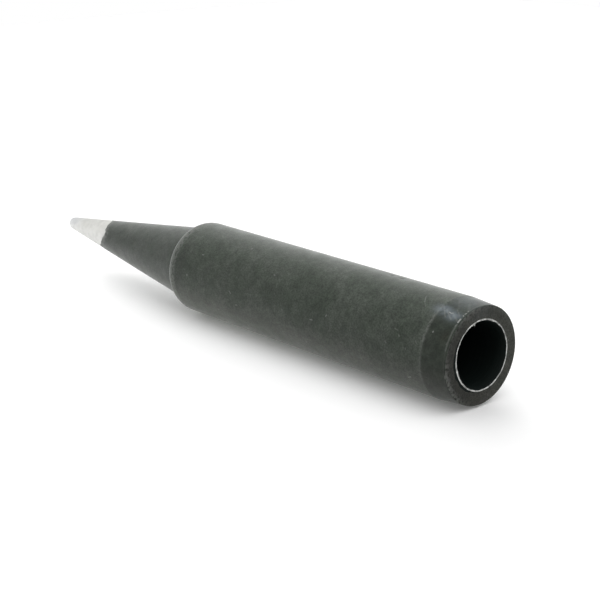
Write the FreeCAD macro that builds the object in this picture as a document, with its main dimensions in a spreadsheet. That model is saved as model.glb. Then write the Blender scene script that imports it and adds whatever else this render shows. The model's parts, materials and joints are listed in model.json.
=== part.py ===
"""Soldering iron tip: one turned copper piece with a blind heater bore and a round-nosed cone.

Millimetres. The tip stands on its flat rear face: the origin is the centre of that face, and +Z runs
along the turning axis towards the working point. In both sketches the first coordinate is the distance
from the turning axis and the second is the height above the rear face.
"""
import FreeCAD, Part
import math
import os

import Sketcher

NODE = "soldering_tip"

# Driving dimensions, in millimetres and degrees, each with what it measures.
SIZES = {
    "overall_length": (44.0, "rear face to the end of the nose"),
    "barrel_length": (27.0, "rear face to the foot of the cone"),
    "barrel_diameter": (6.5, "outside of the barrel, which the iron's sleeve slides over"),
    "rear_taper_inset": (0.15, "how far the rear face's edge lies inside the barrel's surface"),
    "rear_taper_length": (1.9, "lead-in taper between the rear face and the full barrel"),
    "rear_edge_radius": (0.06, "rounding of the rear face's outer edge"),
    "shoulder_radius": (0.8, "rounding at the front of the barrel"),
    "shoulder_width": (0.525, "how far the foot of the cone lies inside the barrel's surface"),
    "foot_fillet_radius": (0.15, "tool radius left in the corner between shoulder and cone"),
    "nose_radius": (0.5, "ball of the working point"),
    "bore_diameter": (4.25, "heater bore"),
    "bore_depth": (25.0, "rear face to the end of the bore's straight wall"),
    "drill_point_angle": (118.0, "full angle of the drill point at the end of the bore"),
    "mouth_chamfer": (0.1, "broken edge round the mouth of the bore"),
}

# How near an edge's height and radius must be to the values that it is looked up by.
EDGE_TOLERANCE = 1e-4

# Degrees that a turned feature goes round its axis.
FULL_TURN = 360

# Numbers that a sketch gives to an element's points and to its own axes. They cross at the origin,
# which is the horizontal axis's first point.
START, END, CENTRE = range(1, 4)
HORIZONTAL_AXIS, VERTICAL_AXIS = range(-1, -3, -1)
ORIGIN = (HORIZONTAL_AXIS, START)


def fill_sheet(doc):
    """Put the driving dimensions in the document's sheet, one row each, with the name as the alias."""
    sheet = doc.addObject("Spreadsheet::Sheet", "Sizes")
    for row, (name, (value, note)) in enumerate(SIZES.items(), start=1):
        sheet.set(f"A{row}", name)
        sheet.set(f"B{row}", str(value))
        sheet.set(f"C{row}", note)
        sheet.setAlias(f"B{row}", name)
    doc.recompute()


def origin_feature(body, role):
    """The plane or axis of the body's own origin that has this role."""
    return next(part for part in body.Origin.OriginFeatures if part.Role == role)


def sketch_on_axis_plane(body, name):
    """A sketch on the body's upright plane, with the turning axis as its vertical axis."""
    sketch = body.newObject("Sketcher::SketchObject", name)
    sketch.AttachmentSupport = [(origin_feature(body, "XZ_Plane"), "")]
    sketch.MapMode = "FlatFace"
    return sketch


def point(radius, height):
    """A point of a sketch, by its distance from the turning axis and its height."""
    return FreeCAD.Vector(radius, height, 0)


def arc(centre, radius, start_angle, end_angle):
    """A sketch's arc, counter-clockwise from the start to the end, with its angles in radians."""
    plane_normal = FreeCAD.Vector(0, 0, 1)
    return Part.ArcOfCircle(Part.Circle(centre, plane_normal, radius), start_angle, end_angle)


def bind(sketch, name, constraint, expression):
    """Add a named dimension to the sketch and tie it to the sheet."""
    index = sketch.addConstraint(constraint)
    sketch.renameConstraint(index, name)
    sketch.setExpression(f"Constraints.{name}", expression)


def join(sketch, chain):
    """Make each element of the chain start where the one before it ends, and close the chain."""
    for first, second in zip(chain, chain[1:] + chain[:1]):
        sketch.addConstraint(Sketcher.Constraint("Coincident", first, END, second, START))


def rear_radius(size):
    """Radius of the rear face's outer edge, before that edge is rounded."""
    return size["barrel_diameter"] / 2 - size["rear_taper_inset"]


def foot_radius(size):
    """Radius of the cone's foot, where it leaves the shoulder."""
    return size["barrel_diameter"] / 2 - size["shoulder_width"]


def draw_outline(sketch, size):
    """The outside: rear face, taper, barrel, shoulder, cone and nose, closed along the turning axis."""
    barrel = size["barrel_diameter"] / 2
    rear = rear_radius(size)
    foot = foot_radius(size)
    shoulder = size["shoulder_radius"]
    nose = size["nose_radius"]
    length = size["overall_length"]

    # The shoulder's arc leaves the barrel tangent and ends where it meets the foot of the cone.
    shoulder_turn = math.acos((foot - barrel + shoulder) / shoulder)
    shoulder_start = size["barrel_length"] - shoulder * math.sin(shoulder_turn)
    shoulder_centre = point(barrel - shoulder, shoulder_start)

    # The cone runs from its foot tangent to the nose, so its half angle follows from both.
    nose_centre = point(0, length - nose)
    reach = nose_centre.y - size["barrel_length"]
    half_angle = math.atan2(foot, reach) - math.asin(nose / math.hypot(reach, foot))
    touch = point(nose * math.cos(half_angle), nose_centre.y + nose * math.sin(half_angle))

    axis_foot = point(0, 0)
    rear_edge = point(rear, 0)
    taper_end = point(barrel, size["rear_taper_length"])
    barrel_end = point(barrel, shoulder_start)
    cone_foot = point(foot, size["barrel_length"])
    nose_end = point(0, length)

    rear_face = sketch.addGeometry(Part.LineSegment(axis_foot, rear_edge))
    taper = sketch.addGeometry(Part.LineSegment(rear_edge, taper_end))
    wall = sketch.addGeometry(Part.LineSegment(taper_end, barrel_end))
    shoulder_arc = sketch.addGeometry(arc(shoulder_centre, shoulder, 0, shoulder_turn))
    cone = sketch.addGeometry(Part.LineSegment(cone_foot, touch))
    nose_arc = sketch.addGeometry(arc(nose_centre, nose, half_angle, math.pi / 2))
    axis = sketch.addGeometry(Part.LineSegment(nose_end, axis_foot))

    sketch.addConstraint([
        Sketcher.Constraint("Tangent", wall, END, shoulder_arc, START),
        Sketcher.Constraint("Tangent", cone, END, nose_arc, START),
        Sketcher.Constraint("Coincident", axis, END, rear_face, START),
        Sketcher.Constraint("Coincident", rear_face, END, taper, START),
        Sketcher.Constraint("Coincident", taper, END, wall, START),
        Sketcher.Constraint("Coincident", shoulder_arc, END, cone, START),
        Sketcher.Constraint("Coincident", nose_arc, END, axis, START),
        Sketcher.Constraint("Coincident", rear_face, START, *ORIGIN),
        Sketcher.Constraint("Horizontal", rear_face),
        Sketcher.Constraint("Vertical", wall),
        Sketcher.Constraint("Vertical", axis),
        Sketcher.Constraint("PointOnObject", nose_arc, CENTRE, VERTICAL_AXIS),
    ])
    bind(sketch, "rear_radius", Sketcher.Constraint("DistanceX", rear_face, START, rear_face, END, rear),
         "Sizes.barrel_diameter / 2 - Sizes.rear_taper_inset")
    bind(sketch, "barrel_radius", Sketcher.Constraint("DistanceX", *ORIGIN, wall, START, barrel),
         "Sizes.barrel_diameter / 2")
    bind(sketch, "taper_length", Sketcher.Constraint("DistanceY", *ORIGIN, wall, START, taper_end.y),
         "Sizes.rear_taper_length")
    bind(sketch, "shoulder_rounding", Sketcher.Constraint("Radius", shoulder_arc, shoulder),
         "Sizes.shoulder_radius")
    bind(sketch, "foot_radius", Sketcher.Constraint("DistanceX", *ORIGIN, cone, START, foot),
         "Sizes.barrel_diameter / 2 - Sizes.shoulder_width")
    bind(sketch, "foot_height", Sketcher.Constraint("DistanceY", *ORIGIN, cone, START, cone_foot.y),
         "Sizes.barrel_length")
    bind(sketch, "nose_rounding", Sketcher.Constraint("Radius", nose_arc, nose),
         "Sizes.nose_radius")
    bind(sketch, "nose_height", Sketcher.Constraint("DistanceY", *ORIGIN, axis, START, length),
         "Sizes.overall_length")


def draw_bore(sketch, size):
    """Half the section of the blind bore: straight wall and drill point, closed on the axis."""
    radius = size["bore_diameter"] / 2
    point_rise = radius / math.tan(math.radians(size["drill_point_angle"] / 2))
    mouth_centre = point(0, 0)
    mouth_edge = point(radius, 0)
    wall_end = point(radius, size["bore_depth"])
    tip = point(0, size["bore_depth"] + point_rise)

    mouth = sketch.addGeometry(Part.LineSegment(mouth_centre, mouth_edge))
    wall = sketch.addGeometry(Part.LineSegment(mouth_edge, wall_end))
    drill_point = sketch.addGeometry(Part.LineSegment(wall_end, tip))
    axis = sketch.addGeometry(Part.LineSegment(tip, mouth_centre))

    join(sketch, [mouth, wall, drill_point, axis])
    sketch.addConstraint([
        Sketcher.Constraint("Coincident", mouth, START, *ORIGIN),
        Sketcher.Constraint("Horizontal", mouth),
        Sketcher.Constraint("Vertical", wall),
        Sketcher.Constraint("Vertical", axis),
    ])
    bind(sketch, "bore_radius", Sketcher.Constraint("DistanceX", mouth, START, mouth, END, radius),
         "Sizes.bore_diameter / 2")
    bind(sketch, "wall_depth", Sketcher.Constraint("DistanceY", wall, START, wall, END, wall_end.y),
         "Sizes.bore_depth")
    bind(sketch, "point_rise",
         Sketcher.Constraint("DistanceY", drill_point, START, drill_point, END, point_rise),
         "Sizes.bore_diameter / 2 / tan(Sizes.drill_point_angle * 1 deg / 2)")


def turned(body, kind, name, sketch):
    """A full turn of the sketch about its vertical axis, added (Revolution) or taken away (Groove)."""
    feature = body.newObject(kind, name)
    feature.Profile = sketch
    feature.ReferenceAxis = (sketch, ["V_Axis"])
    feature.Angle = FULL_TURN


def ring_edge(shape, radius, height):
    """The name of the circular edge about the turning axis that has this radius and height."""
    for index, edge in enumerate(shape.Edges, start=1):
        curve = edge.Curve
        if not isinstance(curve, Part.Circle):
            continue
        off_height = abs(curve.Center.z - height)
        off_radius = abs(curve.Radius - radius)
        if max(off_height, off_radius) < EDGE_TOLERANCE:
            return f"Edge{index}"
    raise ValueError(f"no ring edge of radius {radius} at height {height}")


def dress_edge(doc, body, kind, name, radius, height, sheet_name):
    """Fillet or chamfer one ring edge of the body as it now is, by the size of that name in the sheet."""
    base = body.Tip
    feature = body.newObject(kind, name)
    feature.Base = (base, [ring_edge(base.Shape, radius, height)])
    size_property = "Radius" if kind == "PartDesign::Fillet" else "Size"
    feature.setExpression(size_property, f"Sizes.{sheet_name}")
    doc.recompute()


def build_tip(doc, size):
    """The whole piece: turned outside, blind bore, then the small edge work."""
    body = doc.addObject("PartDesign::Body", "TipBody")
    body.Label = NODE

    outline = sketch_on_axis_plane(body, "turned_outline")
    draw_outline(outline, size)
    turned(body, "PartDesign::Revolution", "turned_blank", outline)
    doc.recompute()
    blank_volume = body.Shape.Volume

    bore_section = sketch_on_axis_plane(body, "bore_section")
    draw_bore(bore_section, size)
    turned(body, "PartDesign::Groove", "heater_bore", bore_section)
    doc.recompute()
    check_cut("heater_bore", blank_volume, body.Shape.Volume)

    dress_edge(doc, body, "PartDesign::Fillet", "foot_fillet",
               foot_radius(size), size["barrel_length"], "foot_fillet_radius")
    dress_edge(doc, body, "PartDesign::Fillet", "rear_edge_rounding",
               rear_radius(size), 0, "rear_edge_radius")
    before_chamfer = body.Shape.Volume
    dress_edge(doc, body, "PartDesign::Chamfer", "mouth_chamfer",
               size["bore_diameter"] / 2, 0, "mouth_chamfer")
    check_cut("mouth_chamfer", before_chamfer, body.Shape.Volume)
    return body, [outline, bore_section]


def check_cut(name, before, after):
    """Stop if a cut took nothing away, which shows no error of its own."""
    if not after < before:
        raise RuntimeError(f"{name} took nothing away")


def check_document(doc, sketches):
    """Stop on a failed object or on a sketch that its dimensions don't fix."""
    for item in doc.Objects:
        faults = {"Invalid", "Error"} & set(item.State)
        if faults:
            raise RuntimeError(f"{item.Label}: {sorted(faults)}")
    for sketch in sketches:
        if not sketch.FullyConstrained:
            raise RuntimeError(f"{sketch.Label} is not fully constrained")


def export(body):
    """Write the body's one solid to the file of its own name, and say its size."""
    shape = body.Shape
    if shape.isNull() or not shape.isValid() or len(shape.Solids) != 1:
        raise RuntimeError(f"{body.Label} is not one valid solid")
    solid = shape.Solids[0]
    os.makedirs("parts", exist_ok=True)
    solid.exportStep(f"parts/{body.Label}.step")
    box = solid.optimalBoundingBox(False)
    print(f"{body.Label}: {solid.Volume:.2f} mm3")
    print(f"box {box.XLength:.3f} x {box.YLength:.3f} x {box.ZLength:.3f} mm")
    print(f"mass centre {solid.CenterOfMass.z:.2f} mm above the rear face")


def main():
    doc = FreeCAD.newDocument("SolderingTip")
    fill_sheet(doc)
    size = {name: value for name, (value, _) in SIZES.items()}
    body, sketches = build_tip(doc, size)
    check_document(doc, sketches)
    export(body)


main()
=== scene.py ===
"""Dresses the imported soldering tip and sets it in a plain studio.

The tip is one turned piece that stands on its rear face, axis up. Its coat, its tinned point and the bare
edge of its bore are modelled here as separate skins, each with a finish of its own. Lengths that end in _mm
are millimetres and turns that end in _deg are degrees about the axis, counted from +X; meshes are in metres.
"""
from __future__ import annotations

import json
import logging
import math
from dataclasses import dataclass, field
from enum import Enum, IntEnum
from typing import Any, Callable, Iterable, Sequence

import bpy
import numpy as np
from mathutils import Matrix, Vector


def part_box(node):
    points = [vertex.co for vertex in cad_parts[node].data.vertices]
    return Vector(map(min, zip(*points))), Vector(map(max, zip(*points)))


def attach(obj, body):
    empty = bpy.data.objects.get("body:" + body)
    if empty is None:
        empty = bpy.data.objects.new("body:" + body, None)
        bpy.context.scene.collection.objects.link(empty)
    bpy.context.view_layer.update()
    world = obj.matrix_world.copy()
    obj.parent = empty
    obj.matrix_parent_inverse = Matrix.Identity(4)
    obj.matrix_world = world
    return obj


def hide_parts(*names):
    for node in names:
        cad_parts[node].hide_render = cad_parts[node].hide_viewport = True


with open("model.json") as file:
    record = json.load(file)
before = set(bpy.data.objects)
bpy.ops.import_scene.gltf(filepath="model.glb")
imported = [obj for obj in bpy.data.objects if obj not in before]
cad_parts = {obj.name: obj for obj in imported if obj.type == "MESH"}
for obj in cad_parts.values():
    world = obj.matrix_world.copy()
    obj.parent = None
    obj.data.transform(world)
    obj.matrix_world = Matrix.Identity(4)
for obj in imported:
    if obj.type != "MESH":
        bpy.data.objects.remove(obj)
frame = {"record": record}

Colour = tuple[float, float, float]
Span = tuple[float, float]
Curve = tuple[Span, ...]
Array = np.ndarray
Wave = Callable[[Array], Array]
Socket = bpy.types.NodeSocket
MM = 0.001
NODE = "soldering_tip"
BODY = "root"
logger = logging.getLogger("soldering_tip")
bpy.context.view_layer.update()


class Slot(str, Enum):
    """The record's material slots."""

    COAT = "dark_coat"
    TIN = "tinned_end"
    BARE = "bare_mouth"


class Zone(IntEnum):
    """Stretches of the turned outline; the number is the place of its finish in the mesh."""

    CONE = 0
    BARREL = 1
    TAPER = 2
    REAR_FACE = 3
    BORE = 4


def polar(turn_deg: float, radius: float = 1.0, height: float = 0.0) -> Vector:
    """A point given by its turn about the axis, its distance from the axis and its height."""
    turn = math.radians(turn_deg)
    return Vector((radius * math.cos(turn), radius * math.sin(turn), height))


def turn_gap(turns: Array, turn_deg: float) -> Array:
    """Signed difference of turns from one turn, in degrees, between -180 and 180."""
    return (turns - turn_deg + 180.0) % 360.0 - 180.0


@dataclass(frozen=True)
class Ripple:
    """A smooth closed random wave about the axis: its seed, its fewest and most waves in a turn, its size."""

    seed: int
    fewest: int
    most: int
    size: float

    def __call__(self, turns: Array) -> Array:
        """The wave's value at each turn in degrees, mostly between minus and plus its size."""
        draw = np.random.default_rng(self.seed)
        counts = np.arange(self.fewest, self.most + 1)
        phases = draw.uniform(0.0, 2.0 * math.pi, len(counts))
        sizes = draw.uniform(0.5, 1.0, len(counts)) / math.sqrt(len(counts))
        angles = np.radians(turns)[..., None] * counts + phases
        return (np.sin(angles) * sizes).sum(-1) * 1.5 * self.size


@dataclass(frozen=True)
class Hump:
    """A soft hump: its size at its middle, about a third of it at its reach; a higher power is steeper."""

    middle: float
    reach: float
    size: float = 1.0
    power: int = 4

    def along(self, lengths: Array) -> Array:
        """The hump's height at lengths along a line."""
        return self.size * np.exp(-(((lengths - self.middle) / self.reach) ** self.power))

    def around(self, turns: Array) -> Array:
        """The hump's height at turns about the axis."""
        return self.along(self.middle + turn_gap(turns, self.middle))


def rise(values: Array, start: Any, end: Any) -> Array:
    """An even rise from 0 at its start to 1 at its end, level beyond both."""
    return np.clip((values - start) / (end - start), 0.0, 1.0)


def strongest(layers: Iterable[Array]) -> Array:
    """The highest value of several layers at each point."""
    return np.maximum.reduce(list(layers))


def closed_curve(points: Curve, at: Array) -> Array:
    """Reads a smooth closed curve of a value about the axis.

    Args:
        points: Pairs of a turn in degrees, rising, and the value there.
        at: Turns in degrees at which the curve is read.

    Returns:
        The curve's value at each turn.
    """
    turns, values = np.array(points).T
    turns = np.concatenate([turns[-1:] - 360.0, turns, turns[:1] + 360.0])
    values = np.concatenate([values[-1:], values, values[:1]])
    at = (at - turns[1]) % 360.0 + turns[1]
    step = np.clip(np.searchsorted(turns, at, side="right") - 1, 0, len(turns) - 2)
    share = (at - turns[step]) / (turns[step + 1] - turns[step])
    eased = share * share * (3.0 - 2.0 * share)
    return values[step] + (values[step + 1] - values[step]) * eased


@dataclass(frozen=True)
class TipForm:
    """Sizes of the turned tip, in millimetres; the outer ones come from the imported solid."""

    length: float
    barrel_radius: float
    bore_radius: float
    barrel_length: float = 27.0
    shoulder_radius: float = 0.8
    shoulder_width: float = 0.525
    foot_fillet: float = 0.15
    nose_radius: float = 0.5
    rear_inset: float = 0.15
    rear_taper_length: float = 1.9
    rear_edge: float = 0.06
    bore_depth: float = 25.0
    drill_point_deg: float = 118.0

    @classmethod
    def from_frame(cls) -> TipForm:
        """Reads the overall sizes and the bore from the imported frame."""
        low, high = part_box(NODE)
        radius = {mount["name"]: mount["dims"].get("r_mm") for mount in frame["record"]["mounts"]}
        return cls((high.z - low.z) / MM, radius["barrel"], radius["heater_bore"])

    @property
    def foot_radius(self) -> float:
        """Radius at which the cone leaves the shoulder."""
        return self.barrel_radius - self.shoulder_width

    @property
    def shoulder_centre(self) -> tuple[float, float]:
        """Radius and height of the centre of the shoulder's arc."""
        radius = self.barrel_radius - self.shoulder_radius
        drop = math.sqrt(self.shoulder_radius**2 - (self.foot_radius - radius) ** 2)
        return radius, self.barrel_length - drop

    @property
    def cone_slope(self) -> float:
        """Half angle of the cone, in radians, at which it runs tangent into the round nose."""
        rise = self.length - self.nose_radius - self.barrel_length
        reach = math.hypot(rise, self.foot_radius)
        return math.atan2(self.foot_radius, rise) - math.asin(self.nose_radius / reach)

    @property
    def nose_start(self) -> tuple[float, float]:
        """Radius and height at which the cone meets the round nose."""
        centre = self.length - self.nose_radius
        slope = self.cone_slope
        return self.nose_radius * math.cos(slope), centre + self.nose_radius * math.sin(slope)

    def outer_radius(self, height: Array) -> Array:
        """Radius of the cone and its round nose at heights above the shoulder."""
        start_radius, start_height = self.nose_start
        share = (height - self.barrel_length) / (start_height - self.barrel_length)
        cone = self.foot_radius + (start_radius - self.foot_radius) * share
        above = np.clip(height - (self.length - self.nose_radius), 0.0, self.nose_radius)
        nose = np.sqrt(np.maximum(self.nose_radius**2 - above**2, 0.0))
        return np.where(height < start_height, cone, nose)


@dataclass
class Outline:
    """A chain of points, radius and height in millimetres, that is turned about the axis."""

    points: list[tuple[float, float]] = field(default_factory=list)
    zones: list[Zone] = field(default_factory=list)
    sharp: set[int] = field(default_factory=set)

    def line(self, end: tuple[float, float], steps: int, zone: Zone) -> None:
        """Adds a straight stretch to a point, in even steps."""
        start = self.points[-1]
        for share in np.linspace(0.0, 1.0, steps + 1)[1:]:
            self.place(start[0] + (end[0] - start[0]) * share, start[1] + (end[1] - start[1]) * share, zone)

    def arc(
        self, centre: tuple[float, float], radius: float, first: float, last: float, steps: int, zone: Zone
    ) -> None:
        """Adds a round stretch between two angles, in radians from the outward direction."""
        for angle in np.linspace(first, last, steps + 1)[1:]:
            self.place(centre[0] + radius * math.cos(angle), centre[1] + radius * math.sin(angle), zone)

    def bend(self, corner: tuple[float, float], end: tuple[float, float], steps: int, zone: Zone) -> None:
        """Adds a small rounding that is drawn towards a corner and ends at a point."""
        start = self.points[-1]
        for t in np.linspace(0.0, 1.0, steps + 1)[1:]:
            near, mid, far = (1.0 - t) ** 2, 2.0 * t * (1.0 - t), t * t
            radius = near * start[0] + mid * corner[0] + far * end[0]
            self.place(radius, near * start[1] + mid * corner[1] + far * end[1], zone)

    def place(self, radius: float, height: float, zone: Zone) -> None:
        """Adds one point."""
        self.points.append((float(radius), float(height)))
        self.zones.append(zone)

    def crease(self) -> None:
        """Marks the last point as a sharp edge."""
        self.sharp.add(len(self.points) - 1)


@dataclass
class TurnedMesh:
    """Turns rings of points into a closed mesh with finishes, sharp edges and a flat map."""

    name: str
    segments: int

    @property
    def turns(self) -> Array:
        """The turns at which the rings have their points."""
        return np.arange(self.segments) * (360.0 / self.segments)

    def build(
        self,
        radii: Array,
        heights: Array,
        spans: Array,
        band: bool = False,
        sharp: Sequence[int] = (),
        lean: Wave | None = None,
    ) -> bpy.types.Object:
        """Makes the object.

        Args:
            radii: Radius of each ring at each turn, in millimetres; rows are rings.
            heights: Height of each ring at each turn, in millimetres.
            spans: Finish number of each stretch between two rings.
            band: Whether the last ring joins the first; if not, both are single points on the axis.
            sharp: Rings that are sharp edges.
            lean: Offset in X and Y, in millimetres, for each height.

        Returns:
            The new object, linked to the scene.
        """
        rings, count = radii.shape
        turn = np.radians(self.turns)
        points = np.stack([radii * np.cos(turn), radii * np.sin(turn), heights], -1)
        if lean is not None:
            points[..., :2] += lean(heights)
        first, last = (0, rings) if band else (1, rings - 1)
        tips = np.zeros((0, 3)) if band else points[[0, -1]].mean(1)
        vertices = np.concatenate([points[first:last].reshape(-1, 3), tips]) * MM
        grid = np.arange((last - first) * count).reshape(last - first, count)
        faces, finish, corners = [], [], []
        along = self._lengths_along(radii, heights)
        for ring in range(rings if band else rings - 1):
            after = (ring + 1) % rings
            v0, v1 = along[ring], along[ring + 1]
            for j in range(count):
                k = (j + 1) % count
                u0, u1 = j / count, (j + 1) / count
                if ring == 0 and not band:
                    faces.append((len(grid) * count, grid[0, j], grid[0, k]))
                    corners += [((u0 + u1) / 2.0, v0), (u0, v1), (u1, v1)]
                elif after == rings - 1 and not band:
                    faces.append((grid[-1, j], len(vertices) - 1, grid[-1, k]))
                    corners += [(u0, v0), ((u0 + u1) / 2.0, v1), (u1, v0)]
                else:
                    a, b = ring - first, after - first
                    faces.append((grid[a, j], grid[b, j], grid[b, k], grid[a, k]))
                    corners += [(u0, v0), (u0, v1), (u1, v1), (u1, v0)]
                finish.append(int(spans[ring]))
        mesh = bpy.data.meshes.new(self.name)
        mesh.from_pydata(vertices.tolist(), [], [tuple(int(i) for i in f) for f in faces])
        mesh.polygons.foreach_set("use_smooth", [True] * len(mesh.polygons))
        mesh.polygons.foreach_set("material_index", finish)
        flat = mesh.uv_layers.new(name="OFBake")
        flat.data.foreach_set("uv", np.array(corners, np.float32).ravel())
        self._mark_sharp(mesh, grid, [s - first for s in sharp])
        mesh.validate()
        mesh.update()
        piece = bpy.data.objects.new(self.name, mesh)
        bpy.context.scene.collection.objects.link(piece)
        return piece

    @staticmethod
    def _lengths_along(radii: Array, heights: Array) -> Array:
        """Place of each ring along the outline, from 0 to 1, with the last repeated for a closed loop."""
        radius, height = radii.mean(1), heights.mean(1)
        radius = np.append(radius, radius[0])
        height = np.append(height, height[0])
        steps = np.hypot(np.diff(radius), np.diff(height))
        return np.concatenate([[0.0], np.cumsum(steps)]) / max(steps.sum(), 1e-9)

    @staticmethod
    def _mark_sharp(mesh: bpy.types.Mesh, grid: Array, rings: Sequence[int]) -> None:
        """Marks the edges that run round the named rings as sharp."""
        wanted = set()
        for ring in rings:
            row = grid[ring]
            wanted.update(frozenset((int(a), int(b))) for a, b in zip(row, np.roll(row, -1)))
        for edge in mesh.edges:
            if frozenset(edge.vertices) in wanted:
                edge.use_edge_sharp = True


@dataclass(frozen=True)
class Pattern:
    """Cloudy noise at a scale per millimetre, and the stretch of its values that a soft step covers."""

    scale: float
    detail: float = 2.0
    roughness: float = 0.5
    low: float = 0.3
    high: float = 0.7


@dataclass(frozen=True)
class Bumps:
    """Fine bumps: their pattern, their strength and their depth."""

    pattern: Pattern
    strength: float
    depth_mm: float = 0.02


class NodeBench:
    """Adds and wires shader nodes, so that a finish reads as a short recipe."""

    LINE_CORE = 0.1
    LINE_EDGE = 0.6
    DOT_CORE = 0.4

    def __init__(self, tree: bpy.types.NodeTree) -> None:
        """Clears a node tree and works in it."""
        tree.nodes.clear()
        self.tree = tree

    def add(self, kind: str, inputs: dict[Any, Any] | None = None, **settings: Any) -> bpy.types.Node:
        """Adds a node.

        Args:
            kind: Blender's name of the node type.
            inputs: Values or sockets for its inputs, by name or number.
            **settings: Values for its properties.

        Returns:
            The new node.
        """
        node = self.tree.nodes.new(kind)
        for name, value in settings.items():
            setattr(node, name, value)
        for key, value in (inputs or {}).items():
            if isinstance(value, Socket):
                self.tree.links.new(value, node.inputs[key])
            else:
                node.inputs[key].default_value = value
        return node

    def vector(self, operation: str, first: Any, second: Any) -> Socket:
        """One sum on two vectors, or on a vector and a number where it is scaled."""
        other = 3 if operation == "SCALE" else 1
        node = self.add("ShaderNodeVectorMath", {0: first, other: second}, operation=operation)
        return node.outputs["Value" if operation in ("DOT_PRODUCT", "DISTANCE") else 0]

    def place_mm(self, stretch: Colour = (1.0, 1.0, 1.0)) -> Socket:
        """The place on the object in millimetres, stretched by a factor along each axis."""
        place = self.add("ShaderNodeTexCoord").outputs["Object"]
        return self.vector("MULTIPLY", place, tuple(s / MM for s in stretch))

    def noise(self, place: Socket, pattern: Pattern) -> Socket:
        """The cloudy noise of a pattern, from about 0.2 to 0.8."""
        inputs = {"Scale": pattern.scale, "Detail": pattern.detail, "Roughness": pattern.roughness}
        return self.add("ShaderNodeTexNoise", {"Vector": place, **inputs}).outputs["Fac"]

    def clouds(self, place: Socket, pattern: Pattern, between: float = 0.0, inside: float = 1.0) -> Socket:
        """A pattern as soft clouds, with one value between them and one inside."""
        return self.ramp(self.noise(place, pattern), pattern.low, pattern.high, between, inside)

    def math(self, operation: str, first: Any, second: Any) -> Socket:
        """One sum on two numbers or sockets."""
        return self.add("ShaderNodeMath", {0: first, 1: second}, operation=operation).outputs[0]

    def ramp(self, value: Any, low: float, high: float, below: float = 0.0, above: float = 1.0) -> Socket:
        """A smooth step of a value, with one result below low and one above high."""
        inputs = {"Value": value, "From Min": low, "From Max": high, "To Min": below, "To Max": above}
        return self.add("ShaderNodeMapRange", inputs, interpolation_type="SMOOTHSTEP").outputs[0]

    def across(self, place: Socket, turn_deg: float, span_mm: Span, values: Span = (0.0, 1.0)) -> Socket:
        """A smooth step across the object, over a span along the way that a turn about the axis points."""
        along = self.vector("DOT_PRODUCT", place, tuple(polar(turn_deg)))
        return self.ramp(along, *span_mm, *values)

    def mix(self, share: Any, first: Any, second: Any) -> Socket:
        """A blend of two colours or colour sockets."""
        first, second = (c if isinstance(c, Socket) else (*c, 1.0) for c in (first, second))
        node = self.add("ShaderNodeMix", {0: share, 6: first, 7: second}, data_type="RGBA")
        return node.outputs[2]

    def attribute(self, name: str) -> Socket:
        """A number painted on the mesh."""
        return self.add("ShaderNodeAttribute", attribute_name=name).outputs["Fac"]

    def unrolled(self, radius_mm: float, middle_turn_deg: float) -> Socket:
        """The place on a round skin laid flat: millimetres round it from a turn, then height."""
        place = self.place_mm()
        ahead = self.vector("DOT_PRODUCT", place, tuple(polar(middle_turn_deg)))
        aside = self.vector("DOT_PRODUCT", place, tuple(polar(middle_turn_deg + 90.0)))
        arc = self.math("MULTIPLY", self.math("ARCTAN2", aside, ahead), radius_mm)
        height = self.add("ShaderNodeSeparateXYZ", {0: place}).outputs["Z"]
        return self.add("ShaderNodeCombineXYZ", {0: arc, 1: height}).outputs[0]

    def line(self, flat: Socket, start: Vector, end: Vector, width: float) -> Socket:
        """A soft straight line on a flat place.

        Args:
            flat: Place in millimetres.
            start: Start of the line.
            end: End of the line.
            width: Full width of the line.

        Returns:
            1 in the middle of the line and 0 beside it.
        """
        way = end - start
        offset = self.vector("SUBTRACT", flat, tuple(start))
        share = self.vector("DOT_PRODUCT", offset, tuple(way / way.length_squared))
        share = self.math("MINIMUM", self.math("MAXIMUM", share, 0.0), 1.0)
        away = self.vector("DISTANCE", offset, self.vector("SCALE", tuple(way), share))
        return self.ramp(away, width * self.LINE_CORE, width * self.LINE_EDGE, 1.0, 0.0)

    def specks(self, place: Socket, scale: float, size: float, share: float) -> Socket:
        """Scattered soft dots.

        Args:
            place: Place in millimetres.
            scale: Cells per millimetre.
            size: Size of a dot as a share of its cell.
            share: Share of the cells that hold a dot.

        Returns:
            1 in a dot and 0 between dots.
        """
        cells = self.add("ShaderNodeTexVoronoi", {"Vector": place, "Scale": scale})
        lot = self.add("ShaderNodeSeparateColor", {0: cells.outputs["Color"]})
        dot = self.ramp(cells.outputs["Distance"], size * self.DOT_CORE, size, 1.0, 0.0)
        chosen = self.math("LESS_THAN", lot.outputs[0], share)
        return self.math("MULTIPLY", self.math("MULTIPLY", dot, chosen), lot.outputs[1])

    def bump(self, place: Socket, bumps: Bumps) -> Socket:
        """The surface's direction with fine bumps on it."""
        inputs = {"Strength": bumps.strength, "Distance": bumps.depth_mm * MM}
        return self.add("ShaderNodeBump", {"Height": self.noise(place, bumps.pattern), **inputs}).outputs[0]

    def finish(self, inputs: dict[str, Any]) -> None:
        """Ends the tree with a surface made from the given inputs."""
        surface = self.add("ShaderNodeBsdfPrincipled", inputs)
        self.add("ShaderNodeOutputMaterial", {"Surface": surface.outputs[0]})


def new_material(name: str) -> tuple[bpy.types.Material, NodeBench]:
    """Makes a material with nodes and a bench to work on it."""
    material = bpy.data.materials.new(name)
    material.use_nodes = True
    return material, NodeBench(material.node_tree)


@dataclass(frozen=True)
class Stroke:
    """A short scratch, dot or painted sheen streak in the coat, from one height and turn to another; dark
    where it is negative.
    """

    start: tuple[float, float]
    end: tuple[float, float]
    width_mm: float = 0.1
    strength: float = 0.5


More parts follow.
